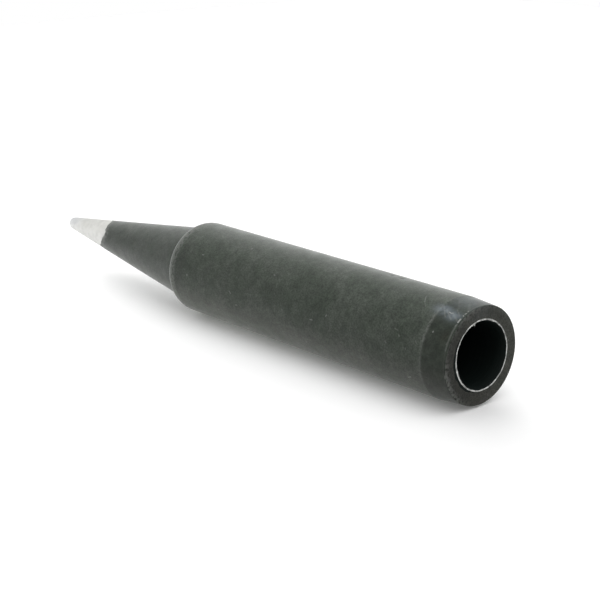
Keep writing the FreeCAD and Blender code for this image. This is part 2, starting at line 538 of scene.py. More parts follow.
@dataclass(frozen=True)
class CoatFinish:
    """The dark matt coat: mottled, finely grained, with pale chips, scratches and scuffed edges, and with
    painted light: a highlight band, sheen streaks, a sheen patch and warmer bounce light on one side.
    """

    name: str
    tone: Colour
    pale_tone: Colour
    roughness: float
    gloss: float
    mottle: float
    grain: float = 0.2
    chips: float = 0.3
    sheen: float = 0.22
    paler_side_deg: float | None = None
    bounce_and_stain_warmth: float = 0.5
    strokes: tuple[Stroke, ...] = ()
    skin_radius_mm: float = 3.25
    middle_turn_deg: float = 100.0
    bare: Colour = (0.36, 0.37, 0.35)
    dust_and_sheen: Colour = (0.17, 0.20, 0.22)
    nick_shade: float = 0.25
    blotch_pattern: Pattern = Pattern(0.55, 4.0, 0.6, 0.36, 0.66)
    mottle_pattern: Pattern = Pattern(2.0, 5.0, 0.7)
    grain_pattern: Pattern = Pattern(9.0, 2.0, 0.6)
    rub_pattern: Pattern = Pattern(5.0, high=0.6)
    dust_pattern: Pattern = Pattern(3.0, 4.0, low=0.15, high=0.55)
    rough_pattern: Pattern = Pattern(1.2, 3.0)
    bumps: Bumps = Bumps(Pattern(14.0, 3.0, 0.6), 0.35)
    paler_span_mm: Span = (-3.0, 3.0)
    paler_values: Span = (0.75, 1.4)
    painted_bounce_side_deg: float = 10.0
    painted_bounce_span_mm: Span = (0.8, 3.0)
    bounce_and_stain_tint: Colour = (1.14, 1.0, 0.98)
    chip_strength: float = 0.35
    chip_cells: float = 1.05
    chip_size: float = 0.085
    scratch_stretch: Colour = (0.45, 0.45, 2.4)
    scratch_cells: float = 1.3
    scratch_size: float = 0.07
    unevenness: float = 0.06
    worn_roughness: float = 0.5
    sheen_roughness: float = 0.4

    def build(self) -> bpy.types.Material:
        """Makes the material."""
        material, bench = new_material(self.name)
        place = bench.place_mm()
        uneven = bench.clouds(
            place, self.rough_pattern, self.roughness - self.unevenness, self.roughness + self.unevenness
        )
        worn_and_highlit = bench.math("MULTIPLY", bench.attribute("wear_and_highlight"), self.worn_roughness)
        bench.finish({
            "Base Color": self.weathered(bench, place, self.fresh(bench, place)),
            "Roughness": bench.math("ADD", uneven, worn_and_highlit),
            "Specular IOR Level": self.gloss,
            "Sheen Weight": self.sheen,
            "Sheen Roughness": self.sheen_roughness,
            "Normal": bench.bump(place, self.bumps),
        })
        return material

    def fresh(self, bench: NodeBench, place: Socket) -> Socket:
        """Mixes the coat's own colour.

        Args:
            bench: Bench of the material.
            place: Place in millimetres.

        Returns:
            The colour, mottled and grained, paler on one side where one is given, warmer on the side towards
            the table as painted bounce light, and warmer where the stain is.
        """
        colour = bench.mix(bench.clouds(place, self.blotch_pattern), self.tone, self.pale_tone)
        mottle = bench.clouds(place, self.mottle_pattern, 1.0 - self.mottle, 1.0 + self.mottle)
        grain = bench.clouds(place, self.grain_pattern, 1.0 - self.grain, 1.0 + self.grain)
        shade = bench.math("MULTIPLY", mottle, grain)
        if self.paler_side_deg is not None:
            paler = bench.across(place, self.paler_side_deg, self.paler_span_mm, self.paler_values)
            shade = bench.math("MULTIPLY", shade, paler)
        colour = bench.vector("SCALE", colour, shade)
        # Painted bounce light: the side towards the table is tinted warmer; the stain takes the same tint.
        bounce_and_stain_warmth = bench.across(place, self.painted_bounce_side_deg, self.painted_bounce_span_mm, (0.0, self.bounce_and_stain_warmth))
        bounce_and_stain_warmth = bench.math("MAXIMUM", bounce_and_stain_warmth, bench.attribute("stain"))
        return bench.mix(bounce_and_stain_warmth, colour, bench.vector("MULTIPLY", colour, self.bounce_and_stain_tint))

    def weathered(self, bench: NodeBench, place: Socket, colour: Socket) -> Socket:
        """Lays the marks of use over a colour.

        Args:
            bench: Bench of the material.
            place: Place in millimetres.
            colour: The coat's own colour.

        Returns:
            The colour under a dusting with a painted sheen patch, chips, scratches and painted sheen streaks,
            scuffed edges with a painted highlight band, and dark marks.
        """
        chips = bench.specks(place, self.chip_cells, self.chip_size, self.chips)
        turned = bench.place_mm(self.scratch_stretch)
        scratches = bench.specks(turned, self.scratch_cells, self.scratch_size, self.chips)
        chipped = bench.math("MULTIPLY", bench.math("MAXIMUM", chips, scratches), self.chip_strength)
        # Painted highlight: this share also holds the painted highlight band at the shoulder.
        rubbed_and_highlit = bench.math("MULTIPLY", bench.attribute("wear_and_highlight"), bench.clouds(place, self.rub_pattern))
        # Painted sheen: this share also holds the painted sheen patch near the top of the taper.
        dust_and_sheen_marks = bench.math("MULTIPLY", bench.attribute("dust_and_sheen"), bench.clouds(place, self.dust_pattern))
        pale, dark = self.scratched(bench, bench.attribute("dark_marks"))
        marks = bench.math("MAXIMUM", bench.math("MAXIMUM", chipped, rubbed_and_highlit), pale)
        colour = bench.mix(dust_and_sheen_marks, colour, self.dust_and_sheen)
        colour = bench.mix(marks, colour, self.bare)
        return bench.mix(dark, colour, tuple(c * self.nick_shade for c in self.tone))

    def scratched(self, bench: NodeBench, dark: Any) -> tuple[Any, Any]:
        """Draws the strokes, painted sheen streaks among them.

        Args:
            bench: Bench of the material.
            dark: Strength of the dark marks so far.

        Returns:
            Strength of the pale strokes and of the dark ones.
        """
        pale: Any = 0.0
        if not self.strokes:
            return pale, dark
        flat = bench.unrolled(self.skin_radius_mm, self.middle_turn_deg)
        for stroke in self.strokes:
            start, end = (
                Vector((math.radians(turn - self.middle_turn_deg) * self.skin_radius_mm, height, 0.0))
                for height, turn in (stroke.start, stroke.end)
            )
            mark = bench.math("MULTIPLY", bench.line(flat, start, end, stroke.width_mm), abs(stroke.strength))
            if stroke.strength > 0.0:
                pale = bench.math("MAXIMUM", pale, mark)
            else:
                dark = bench.math("MAXIMUM", dark, mark)
        return pale, dark


@dataclass(frozen=True)
class CloudyFinish:
    """A plain finish of two tones in soft clouds, which are stretched along the axis where it was turned."""

    name: str
    tone: Colour
    cloud_tone: Colour
    pattern: Pattern
    bumps: Bumps
    roughness: float
    gloss: float = 0.5
    metal: float = 0.0
    stretch: Colour = (1.0, 1.0, 1.0)

    def build(self) -> bpy.types.Material:
        """Makes the material."""
        material, bench = new_material(self.name)
        place = bench.place_mm(self.stretch)
        bench.finish({
            "Base Color": bench.mix(bench.clouds(place, self.pattern), self.tone, self.cloud_tone),
            "Metallic": self.metal,
            "Roughness": self.roughness,
            "Specular IOR Level": self.gloss,
            "Normal": bench.bump(place, self.bumps),
        })
        return material


@dataclass(frozen=True)
class TinFinish:
    """Satin solder on the point, a little blue at the nose, with painted shade on the side towards the table.
    """

    name: str = "tinned_solder"
    tone: Colour = (0.72, 0.72, 0.69)
    nose_tone: Colour = (0.70, 0.71, 0.715)
    nose_span_mm: Span = (41.2, 43.6)
    painted_shade_tone: Colour = (0.615, 0.615, 0.595)
    painted_shade_side_deg: float = 20.0
    painted_shade_span_mm: Span = (-0.15, 0.6)
    cloud_pattern: Pattern = Pattern(1.6, 4.0, 0.6)
    cloud_values: Span = (0.93, 1.05)
    rough_pattern: Pattern = Pattern(4.0, 3.0)
    rough_values: Span = (0.42, 0.56)
    gloss: float = 0.3
    bumps: Bumps = Bumps(Pattern(3.5, 4.0, 0.55), 0.25, 0.06)

    def build(self) -> bpy.types.Material:
        """Makes the material."""
        material, bench = new_material(self.name)
        place = bench.place_mm()
        height = bench.add("ShaderNodeSeparateXYZ", {0: place}).outputs["Z"]
        colour = bench.mix(bench.ramp(height, *self.nose_span_mm), self.tone, self.nose_tone)
        # Painted shade: the side towards the table is darker, for the table's shadow seen in the tin.
        painted_shade = bench.across(place, self.painted_shade_side_deg, self.painted_shade_span_mm)
        colour = bench.mix(painted_shade, colour, self.painted_shade_tone)
        clouds = bench.clouds(place, self.cloud_pattern, *self.cloud_values)
        bench.finish({
            "Base Color": bench.vector("SCALE", colour, clouds),
            "Metallic": 1.0,
            "Roughness": bench.clouds(place, self.rough_pattern, *self.rough_values),
            "Specular IOR Level": self.gloss,
            "Normal": bench.bump(place, self.bumps),
        })
        return material


# The bore's own sooty dark finish; on the strip beside the mouth the same finish is painted shade of a gap.
BORE_SOOT_AND_GAP_SHADE = CloudyFinish(
    "bore_soot_and_gap_shade", (0.0075, 0.0108, 0.0098), (0.0095, 0.0132, 0.0122), Pattern(1.2, 3.0, low=0.4),
    Bumps(Pattern(1.2, 3.0), 0.1), roughness=0.6, gloss=0.04, stretch=(0.5, 0.5, 6.0),
)
BARE_METAL = CloudyFinish(
    "bare_edge_metal", (0.22, 0.225, 0.215), (0.62, 0.63, 0.61), Pattern(2.4, 4.0, 0.65, 0.36, 0.62),
    Bumps(Pattern(16.0), 0.3), roughness=0.42, metal=0.7,
)


@dataclass(frozen=True)
class SkinPlaces:
    """Matching arrays of places on a turned skin: radii and heights in millimetres, turns in degrees."""

    radii: Array
    heights: Array
    turns: Array

    @classmethod
    def of_mesh(cls, mesh: bpy.types.Mesh) -> SkinPlaces:
        """The places of a mesh's points."""
        x, y, z = np.array([v.co for v in mesh.vertices]).T / MM
        return cls(np.hypot(x, y), z, np.degrees(np.arctan2(y, x)) % 360.0)


@dataclass(frozen=True)
class Patch:
    """A soft round patch on the skin, cut off at its lowest and its highest height; a dent has depth."""

    height_mm: float
    turn_deg: float
    length_mm: float
    width_mm: float
    strength: float = 1.0
    depth_mm: float = 0.0
    lowest_mm: float = -1.0
    highest_mm: float = 99.0
    falloff: float = 1.5

    def on(self, at: SkinPlaces) -> Array:
        """The patch's value at each place, with its strength at its middle."""
        across = np.radians(turn_gap(at.turns, self.turn_deg)) * at.radii / (self.width_mm / 2.0)
        along = (at.heights - self.height_mm) / (self.length_mm / 2.0)
        inside = (at.heights > self.lowest_mm) & (at.heights < self.highest_mm)
        return self.strength * np.exp(-self.falloff * (across**2 + along**2)) * inside


@dataclass
class CoatedBody:
    """The turned body with its coat, from the cone's end to the bottom of the bore."""

    form: TipForm
    tin_line: Wave
    segments: int = 240
    tin_inset_mm: float = 0.03
    tin_inset_run_mm: float = 0.1
    lean_mm: float = 0.07
    lean_turn_deg: float = 181.0
    fillet_share: float = 0.6
    rear_edge_share: float = 0.92
    upper_taper_share: float = 0.16
    line_run_mm: float = 0.3
    mouth_break_mm: float = 0.12
    mouth_steps: int = 4
    mouth_tuck_mm: float = 0.01
    mouth_sink_mm: float = 0.03
    eccentric_depth_mm: float = 12.0
    # Painted shade: how far the dark strip beside the mouth reaches out at each turn, widest near turn 64.
    gap: Hump = Hump(64.0, 52.0, 0.17)
    gap_ripple: Ripple = Ripple(41, 4, 22, 0.15)
    wall_clear_mm: float = 0.3
    shoulder_rub_and_highlight: Hump = Hump(26.22, 0.24, 0.27)
    shoulder_ripple: Ripple = Ripple(17, 3, 14, 0.12)
    taper_rub: Hump = Hump(0.0, 0.1, 1.3, power=2)
    taper_rub_shares: Curve = (
        (20.0, 0.02), (45.0, 0.03), (70.0, 0.10), (95.0, 0.16), (108.0, 0.22), (125.0, 0.20), (138.0, 0.14),
        (155.0, 0.10), (200.0, 0.14), (260.0, 0.10), (310.0, 0.16),
    )
    rim_rub: float = 0.52
    rim_rub_span_mm: Span = (2.7, 3.02)
    rim_rub_depth_mm: float = 0.02
    rim_rub_shares: Curve = (
        (0.0, 0.16), (16.0, 0.4), (34.0, 0.9), (60.0, 1.0), (76.0, 0.75), (92.0, 0.25), (105.0, 0.2),
        (120.0, 0.35), (150.0, 0.62), (180.0, 0.3), (270.0, 0.0),
    )
    tin_hem: float = 0.7
    tin_hem_mm: float = 0.62
    tin_hem_power: float = 1.4
    # A darker strip behind the shoulder, near turn 92.
    dark_strip: Hump = Hump(25.5, 0.5, 0.36)
    dark_strip_turns: Hump = Hump(92.0, 26.0)
    dust_and_sheen_marks: tuple[Patch, ...] = (
        Patch(1.6, 141.0, 1.6, 0.9, 0.92, lowest_mm=0.06),
        Patch(0.8, 138.0, 1.4, 0.9, 0.92, lowest_mm=0.06),
        # Painted sheen: this faint pale patch near the top of the taper stands for sheen.
        Patch(1.0, 166.0, 2.6, 2.4, 0.26, highest_mm=1.85),
    )
    stain: Patch = Patch(0.5, 112.0, 0.7, 1.0)
    dents: tuple[Patch, ...] = (
        Patch(7.8, 175.5, 0.3, 0.3, depth_mm=0.05),
        Patch(6.9, 174.5, 0.34, 0.34, depth_mm=0.05),
        Patch(10.6, 181.0, 0.2, 0.2, depth_mm=0.03),
    )
    taper_strokes_and_sheen_streaks: tuple[Stroke, ...] = (
        Stroke((1.42, 113.2), (1.42, 112.8), 0.13, 0.55),
        Stroke((0.92, 140.8), (1.02, 139.6), 0.07, 0.95),
        Stroke((1.02, 139.6), (1.20, 140.4), 0.07, 0.95),
        Stroke((0.30, 133.0), (0.85, 139.5), 0.16, 0.16),
        Stroke((0.75, 132.5), (1.50, 142.5), 0.14, 0.20),
        Stroke((1.20, 133.0), (1.88, 146.0), 0.12, 0.18),
        Stroke((0.40, 140.0), (0.90, 147.0), 0.12, 0.12),
        # Painted sheen: the next two faint pale streaks near the top of the taper stand for sheen.
        Stroke((0.25, 152.0), (0.80, 166.0), 0.22, 0.06),
        Stroke((0.90, 150.0), (1.50, 163.0), 0.20, 0.05),
        Stroke((0.15, 98.0), (0.16, 129.0), 0.17, 0.18),
        Stroke((1.89, 64.0), (1.89, 84.0), 0.12, 0.08),
        Stroke((1.89, 84.0), (1.89, 130.0), 0.12, 0.16),
        Stroke((0.14, 58.0), (0.14, 98.0), 0.12, 0.04),
        Stroke((0.16, 152.0), (0.14, 172.0), 0.12, 0.08),
        Stroke((0.19, 132.0), (0.19, 136.5), 0.14, 0.90),
        Stroke((0.17, 141.5), (0.22, 142.5), 0.10, 0.60),
        Stroke((0.20, 145.0), (0.17, 146.5), 0.10, 0.70),
        Stroke((0.19, 149.5), (0.20, 151.0), 0.09, 0.50),
        Stroke((0.20, 126.5), (0.18, 128.5), 0.09, 0.35),
        Stroke((0.20, 118.0), (0.20, 121.0), 0.08, 0.16),
        Stroke((0.22, 104.5), (0.18, 107.0), 0.12, 0.20),
        Stroke((0.05, 66.5), (0.05, 69.5), 0.14, 0.35),
    )
    barrel_strokes: tuple[Stroke, ...] = (
        Stroke((2.90, 54.6), (3.16, 52.6), 0.10, 0.40),
        Stroke((2.95, 137.0), (3.30, 143.0), 0.05, 0.12),
        Stroke((3.30, 143.0), (3.64, 152.0), 0.06, 0.28),
        Stroke((2.90, 141.0), (3.45, 151.0), 0.09, -0.50),
        Stroke((2.35, 96.5), (2.45, 98.0), 0.12, 0.15),
        Stroke((3.78, 97.6), (3.84, 98.6), 0.12, 0.22),
        Stroke((4.00, 103.0), (4.30, 104.0), 0.10, 0.14),
        Stroke((4.75, 86.4), (4.85, 87.6), 0.16, 0.18),
        Stroke((10.20, 93.0), (10.16, 94.4), 0.09, 0.50),
        Stroke((11.38, 83.8), (11.60, 83.4), 0.08, 0.45),
        Stroke((14.30, 83.0), (14.34, 83.6), 0.12, 0.22),
        Stroke((15.85, 119.2), (15.95, 120.0), 0.12, 0.25),
        Stroke((19.62, 82.6), (19.78, 84.6), 0.14, 0.24),
        Stroke((19.00, 70.2), (19.18, 69.6), 0.09, 0.30),
        Stroke((23.36, 117.0), (23.46, 117.0), 0.12, 0.32),
        Stroke((24.50, 86.6), (24.50, 87.6), 0.12, 0.34),
        Stroke((6.60, 110.0), (7.10, 113.5), 0.08, -0.35),
        Stroke((12.80, 96.0), (13.10, 101.0), 0.14, -0.25),
        Stroke((17.20, 92.0), (17.60, 97.0), 0.16, -0.22),
        Stroke((21.30, 101.0), (21.40, 105.0), 0.12, -0.25),
        Stroke((8.90, 72.0), (9.05, 76.0), 0.14, -0.20),
    )

    def outline(self) -> Outline:
        """Draws the outline from the nose down the outside, over the rear face and up the bore."""
        form = self.form
        out = Outline()
        out.place(0.0, form.length, Zone.CONE)
        self.draw_point_end(out)
        out.line((form.barrel_radius, form.rear_taper_length + self.line_run_mm), 120, Zone.BARREL)
        out.line((form.barrel_radius, form.rear_taper_length), 6, Zone.BARREL)
        out.crease()
        self.draw_rear_end(out)
        out.crease()
        out.line((form.bore_radius, self.mouth_break_mm), self.mouth_steps, Zone.BORE)
        out.line((form.bore_radius, form.bore_depth), 30, Zone.BORE)
        out.crease()
        point = form.bore_radius / math.tan(math.radians(form.drill_point_deg / 2.0))
        out.line((0.0, form.bore_depth + point), 6, Zone.BORE)
        return out

    def draw_point_end(self, out: Outline) -> None:
        """Adds the round nose, the cone, the small radius at its foot and the rounded shoulder."""
        form = self.form
        slope = form.cone_slope
        out.arc((0.0, form.length - form.nose_radius), form.nose_radius, math.pi / 2.0, slope, 12, Zone.CONE)
        fillet = form.foot_fillet * self.fillet_share
        foot = (form.foot_radius, form.barrel_length)
        out.line((foot[0] - fillet * math.sin(slope), foot[1] + fillet * math.cos(slope)), 96, Zone.CONE)
        centre, radius = form.shoulder_centre, form.shoulder_radius
        start = math.acos((foot[0] - centre[0]) / radius) - fillet / radius
        arc_start = (centre[0] + radius * math.cos(start), centre[1] + radius * math.sin(start))
        out.bend(foot, arc_start, 6, Zone.CONE)
        out.arc(centre, radius, start, 0.0, 18, Zone.BARREL)

    def draw_rear_end(self, out: Outline) -> None:
        """Adds the taper, the rounded rear edge and the rear face, whose last strip takes the bore's dark
        finish as painted shade of the gap beside the mouth.
        """
        form = self.form
        rear_radius = form.barrel_radius - form.rear_inset
        edge = form.rear_edge * self.rear_edge_share
        upper = self.upper_taper_share
        near = (form.barrel_radius - form.rear_inset * upper, form.rear_taper_length * (1.0 - upper))
        out.line(near, 6, Zone.TAPER)
        out.line((rear_radius + form.rear_inset * edge / form.rear_taper_length, edge), 16, Zone.TAPER)
        out.bend((rear_radius, 0.0), (rear_radius - edge, 0.0), 5, Zone.TAPER)
        out.line((form.bore_radius + self.mouth_break_mm, 0.0), 8, Zone.REAR_FACE)
        # Painted shade: this last strip takes the bore's dark finish, for the shaded gap beside the mouth.
        out.zones[-1] = Zone.BORE

    def lean(self, heights: Array) -> Array:
        """Offset of the point, which is bent a hair to one side, at each height."""
        share = rise(heights, self.form.barrel_length, self.form.length)
        way = polar(self.lean_turn_deg)
        return self.lean_mm * (share**2)[..., None] * np.array([way.x, way.y])

    def build(self, mouth: MouthEdge) -> bpy.types.Object:
        """Makes the body.

        Args:
            mouth: The bare edge, which says how wide the mouth is at each turn.

        Returns:
            The dressed body.
        """
        out = self.outline()
        lathe = TurnedMesh("coated_body", self.segments)
        turns = lathe.turns
        radii, heights = (np.repeat(column[:, None], len(turns), 1) for column in np.array(out.points).T)
        tin = self.tin_line(turns)[None, :]
        under_tin = rise(heights, tin, tin + self.tin_inset_run_mm) * (heights > self.form.barrel_length)
        radii = np.maximum(radii - self.tin_inset_mm * under_tin, 0.0)
        heights = np.minimum(heights, self.form.length - self.tin_inset_mm)
        outside = np.array([z in (Zone.CONE, Zone.BARREL, Zone.TAPER) for z in out.zones])
        for dent in self.dents:
            depth = dent.depth_mm * dent.on(SkinPlaces(radii, heights, turns))
            radii = radii - depth * outside[:, None]
        self.open_mouth(out, SkinPlaces(radii, heights, turns), mouth)
        spans = np.array([int(z) for z in out.zones[1:]] + [int(Zone.BORE)])
        piece = lathe.build(radii, heights, spans, sharp=sorted(out.sharp), lean=self.lean)
        self.paint(piece.data)
        self.dress(piece.data)
        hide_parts(NODE)
        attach(piece, BODY)
        return piece

    def open_mouth(self, out: Outline, at: SkinPlaces, mouth: MouthEdge) -> None:
        """Sets the painted shade of the gap beside the mouth and the uneven broken edge of the bore, in the
        rings that draw them.

        Args:
            out: The outline, which says which rings they are.
            at: The rings' places, whose arrays are changed.
            mouth: The bare edge that lies in the mouth.
        """
        rim = max(i for i, point in enumerate(out.points) if point[1] == 0.0)
        wall = rim + self.mouth_steps
        edge, shift = mouth.outer_radius(at.turns), mouth.shift(at.turns)
        # Painted shade: the strip out to this ring is in the bore's near-black finish.
        at.radii[rim - 1] = edge + self.gap.around(at.turns) * (1.0 + self.gap_ripple(at.turns))
        outer = edge - self.mouth_tuck_mm
        inner = self.form.bore_radius + shift
        for ring in range(rim, wall + 1):
            share = (ring - rim) / (wall - rim)
            at.radii[ring] = outer + (inner - outer) * share
            at.heights[ring] = self.mouth_sink_mm * (share + share**2)
        for ring in range(wall + 1, len(out.points) - 1):
            at.radii[ring] += shift * max(0.0, 1.0 - at.heights[ring].mean() / self.eccentric_depth_mm)

    def paint(self, mesh: bpy.types.Mesh) -> None:
        """Paints rubbing with a painted highlight band, a dusting with a painted sheen patch, dark marks and
        a stain on the outside, as numbers at the mesh's points.
        """
        at = SkinPlaces.of_mesh(mesh)
        marks = {
            "wear_and_highlight": self.worn_and_highlit(at),
            "dust_and_sheen": strongest(patch.on(at) for patch in self.dust_and_sheen_marks),
            "dark_marks": self.darkened(at),
            "stain": self.stain.on(at),
        }
        skin = at.radii > self.form.bore_radius + self.wall_clear_mm
        skin = skin | (at.heights > self.form.barrel_length)
        for name, values in marks.items():
            layer = mesh.attributes.new(name, "FLOAT", "POINT")
            layer.data.foreach_set("value", (values * skin).astype(np.float32))

    def worn_and_highlit(self, at: SkinPlaces) -> Array:
        """Says how far the coat is scuffed off, and paints a highlight band at the shoulder.

        Args:
            at: Places on the skin.

        Returns:
            The strongest rub at each place: at the taper's start, the shoulder, where it is also painted
                highlight, the rear rim or the tin.
        """
        line = self.taper_rub.along(at.heights - self.form.rear_taper_length)
        line = line * closed_curve(self.taper_rub_shares, at.turns)
        # Painted highlight: the pale band at the shoulder stands for its lit rounded edge as well as rubbing.
        band = self.shoulder_rub_and_highlight.along(at.heights) * (1.0 + self.shoulder_ripple(at.turns))
        rim = rise(at.radii, *self.rim_rub_span_mm) * (at.heights < self.rim_rub_depth_mm)
        rim = self.rim_rub * rim * closed_curve(self.rim_rub_shares, at.turns)
        tin = self.tin_line(at.turns)
        hem = rise(at.heights, tin - self.tin_hem_mm, tin) * (at.heights > self.form.barrel_length)
        return strongest((line, band, rim, self.tin_hem * hem**self.tin_hem_power))

    def darkened(self, at: SkinPlaces) -> Array:
        """How dark the dents and the darker strip behind the shoulder are at each place."""
        strip = self.dark_strip.along(at.heights) * self.dark_strip_turns.around(at.turns)
        return strongest([strip] + [dent.on(at) for dent in self.dents])

    def dress(self, mesh: bpy.types.Mesh) -> None:
        """Gives each stretch of the outline its finish."""
        finishes = {
            Zone.CONE: CoatFinish(
                "coat_cone", (0.030, 0.0395, 0.029), (0.0425, 0.051, 0.041), roughness=0.40, gloss=0.14,
                mottle=0.26, chips=0.12, sheen=0.25,
            ),
            Zone.BARREL: CoatFinish(
                "coat_barrel", (0.0435, 0.0555, 0.0415), (0.060, 0.071, 0.0575), roughness=0.36, gloss=0.14,
                mottle=0.24, grain=0.3, sheen=0.24, strokes=self.barrel_strokes,
            ),
            Zone.TAPER: CoatFinish(
                "coat_rear_taper", (0.0275, 0.036, 0.0265), (0.039, 0.0465, 0.037), roughness=0.36,
                gloss=0.12, mottle=0.28, grain=0.15, strokes=self.taper_strokes_and_sheen_streaks, skin_radius_mm=3.17,
            ),
            Zone.REAR_FACE: CoatFinish(
                "coat_rear_face", (0.038, 0.040, 0.034), (0.058, 0.059, 0.051), roughness=0.5, gloss=0.12,
                mottle=0.2, grain=0.3, chips=0.1, sheen=0.0, paler_side_deg=235.0, bounce_and_stain_warmth=0.0,
            ),
            Zone.BORE: BORE_SOOT_AND_GAP_SHADE,
        }
        for zone in Zone:
            mesh.materials.append(finishes[zone].build())


@dataclass
class TinnedPoint:
    """The tinned end: a thin skin of solder over the cone's point with an uneven edge."""

    form: TipForm
    segments: int = 200
    cone_rings: int = 44
    nose_rings: int = 13
    skin_mm: float = 0.06
    edge_step_mm: float = 0.05
    edge_ripple: Ripple = Ripple(12, 9, 30, 0.017)
    edge_points: Curve = (
        (20.0, 38.7), (46.0, 38.6), (66.0, 38.2), (83.0, 37.9), (98.0, 37.67), (108.0, 37.6), (119.0, 37.77),
        (141.0, 37.9), (155.0, 37.95), (166.0, 38.2), (180.0, 38.6), (200.0, 38.8), (250.0, 38.1),
        (300.0, 38.4), (335.0, 38.5),
    )
    lumps: Ripple = Ripple(5, 2, 7, 0.006)
    lump_twist_deg_per_mm: float = 40.0
    lump_fade_mm: float = 0.4

    def edge_line(self, turns: Array) -> Array:
        """Height of the tin's lower edge at each turn."""
        return closed_curve(self.edge_points, turns) + self.edge_ripple(turns)

    def build(self, lean: Wave) -> bpy.types.Object:
        """Makes the skin.

        Args:
            lean: Offset of the point at each height, shared with the body.

        Returns:
            The dressed skin.
        """
        form = self.form
        lathe = TurnedMesh("tinned_point", self.segments)
        edge = self.edge_line(lathe.turns)[None, :]
        along = np.linspace(0.0, 1.0, self.cone_rings)[:, None]
        nose_start = form.nose_start[1]
        cone_heights = nose_start + (edge - nose_start) * (1.0 - along)
        angle = np.linspace(form.cone_slope, math.pi / 2.0, self.nose_rings + 1)[1:, None]
        angle = np.repeat(angle, self.segments, 1)
        nose_heights = form.length - form.nose_radius + form.nose_radius * np.sin(angle)
        outer_h = np.concatenate([cone_heights, nose_heights])[::-1]
        outer_r = np.concatenate([form.outer_radius(cone_heights), form.nose_radius * np.cos(angle)])[::-1]
        lumps = np.abs(self.lumps(lathe.turns[None, :] + outer_h * self.lump_twist_deg_per_mm))
        outer_r = np.maximum(outer_r - lumps * rise(form.length - outer_h, 0.0, self.lump_fade_mm), 0.0)
        rim_h = edge - self.edge_step_mm
        rim_r = form.outer_radius(rim_h) - self.skin_mm * 0.5
        inner_r = np.maximum(outer_r[::-1] - self.skin_mm, 0.0)
        inner_h = np.minimum(outer_h[::-1], form.length - self.skin_mm)
        radii = np.concatenate([outer_r, rim_r, inner_r])
        heights = np.concatenate([outer_h, rim_h, inner_h])
        piece = lathe.build(radii, heights, np.zeros(len(radii), int), lean=lean)
        piece.data.materials.append(TinFinish().build())
        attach(piece, BODY)
        return piece


class Lip(Enum):
    """The two sides of the bare edge."""

    OUTER = "outer"
    INNER = "inner"


@dataclass
class MouthEdge:
    """The bright broken edge round the mouth of the bore, a little off centre.

    Its section is a loop of a side, an offset outward from that side and a height. Its burrs are hairs of
    metal that reach outward, or inward where their size is negative.
    """

    form: TipForm
    segments: int = 360
    width_mm: float = 0.105
    offset_mm: float = 0.067
    offset_turn_deg: float = 229.0
    oval_mm: float = 0.06
    oval_turn_deg: float = 120.0
    edge_radius_mm: float = 2.29
    width_shares: Curve = (
        (20.0, 1.0), (60.0, 1.25), (100.0, 1.1), (150.0, 1.0), (185.0, 1.15), (230.0, 0.8), (280.0, 0.7),
        (330.0, 0.85),
    )
    edge_ripple: Ripple = Ripple(23, 4, 18, 0.004)
    width_ripple: Ripple = Ripple(31, 6, 40, 0.07)
    burrs: tuple[Hump, ...] = (
        Hump(152.0, 1.0, -0.14, 2), Hump(148.0, 1.0, -0.07, 2), Hump(123.0, 1.0, 0.09, 2),
        Hump(212.0, 1.0, 0.08, 2),
    )
    section_mm: tuple[tuple[Lip, float, float], ...] = (
        (Lip.OUTER, 0.006, 0.012), (Lip.OUTER, 0.0, 0.001), (Lip.INNER, 0.02, 0.001),
        (Lip.INNER, 0.0, 0.012), (Lip.INNER, 0.004, 0.045), (Lip.OUTER, 0.002, 0.05),
    )

    def shift(self, turns: Array) -> Array:
        """How far the mouth, off centre and oval, lies outside its ideal circle at each turn."""
        off_centre = self.offset_mm * np.cos(np.radians(turns - self.offset_turn_deg))
        return off_centre + self.oval_mm * np.cos(2.0 * np.radians(turns - self.oval_turn_deg))

    def outer_radius(self, turns: Array) -> Array:
        """Radius of the mouth's outer edge at each turn."""
        return self.edge_radius_mm + self.shift(turns) + self.edge_ripple(turns)

    def build(self) -> bpy.types.Object:
        """Makes the bare ring as a closed band, sunk into the body's broken edge."""
        lathe = TurnedMesh("bore_mouth_edge", self.segments)
        turns = lathe.turns
        outer = self.outer_radius(turns)
        width = self.width_mm * closed_curve(self.width_shares, turns) * (1.0 + self.width_ripple(turns))
        hairs = [burr.around(turns) for burr in self.burrs]
        outward = strongest(np.maximum(hair, 0.0) for hair in hairs)
        inward = strongest(np.maximum(-hair, 0.0) for hair in hairs)
        lips = {Lip.OUTER: outer + outward, Lip.INNER: outer - width - inward}
        radii = np.stack([lips[side] + offset for side, offset, _ in self.section_mm])
        heights = np.stack([np.full(len(turns), height) for _, _, height in self.section_mm])
        piece = lathe.build(radii, heights, np.zeros(len(radii), int), band=True)
        piece.data.materials.append(BARE_METAL.build())
        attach(piece, BODY)
        return piece


@dataclass(frozen=True)
class SoftBox:
    """A large soft lamp that points at the tip."""

    name: str
    turn_deg: float
    rise_deg: float
    power_w: float
    size_m: float
    distance_m: float = 0.25
    target_mm: float = 22.0

    def build(self) -> None:
        """Makes the lamp, aimed at a height on the axis."""
        rise = math.radians(self.rise_deg)
        way = polar(self.turn_deg, math.cos(rise), math.sin(rise))
        light = bpy.data.lights.new(self.name, "AREA")
        light.energy = self.power_w
        light.size = self.size_m
        lamp = bpy.data.objects.new(self.name, light)
        lamp.location = way * self.distance_m + Vector((0.0, 0.0, self.target_mm * MM))
        lamp.rotation_mode = "QUATERNION"
        lamp.rotation_quaternion = way.to_track_quat("Z", "Y")
        lamp.visible_camera = False
        lamp.visible_glossy = False
        bpy.context.scene.collection.objects.link(lamp)


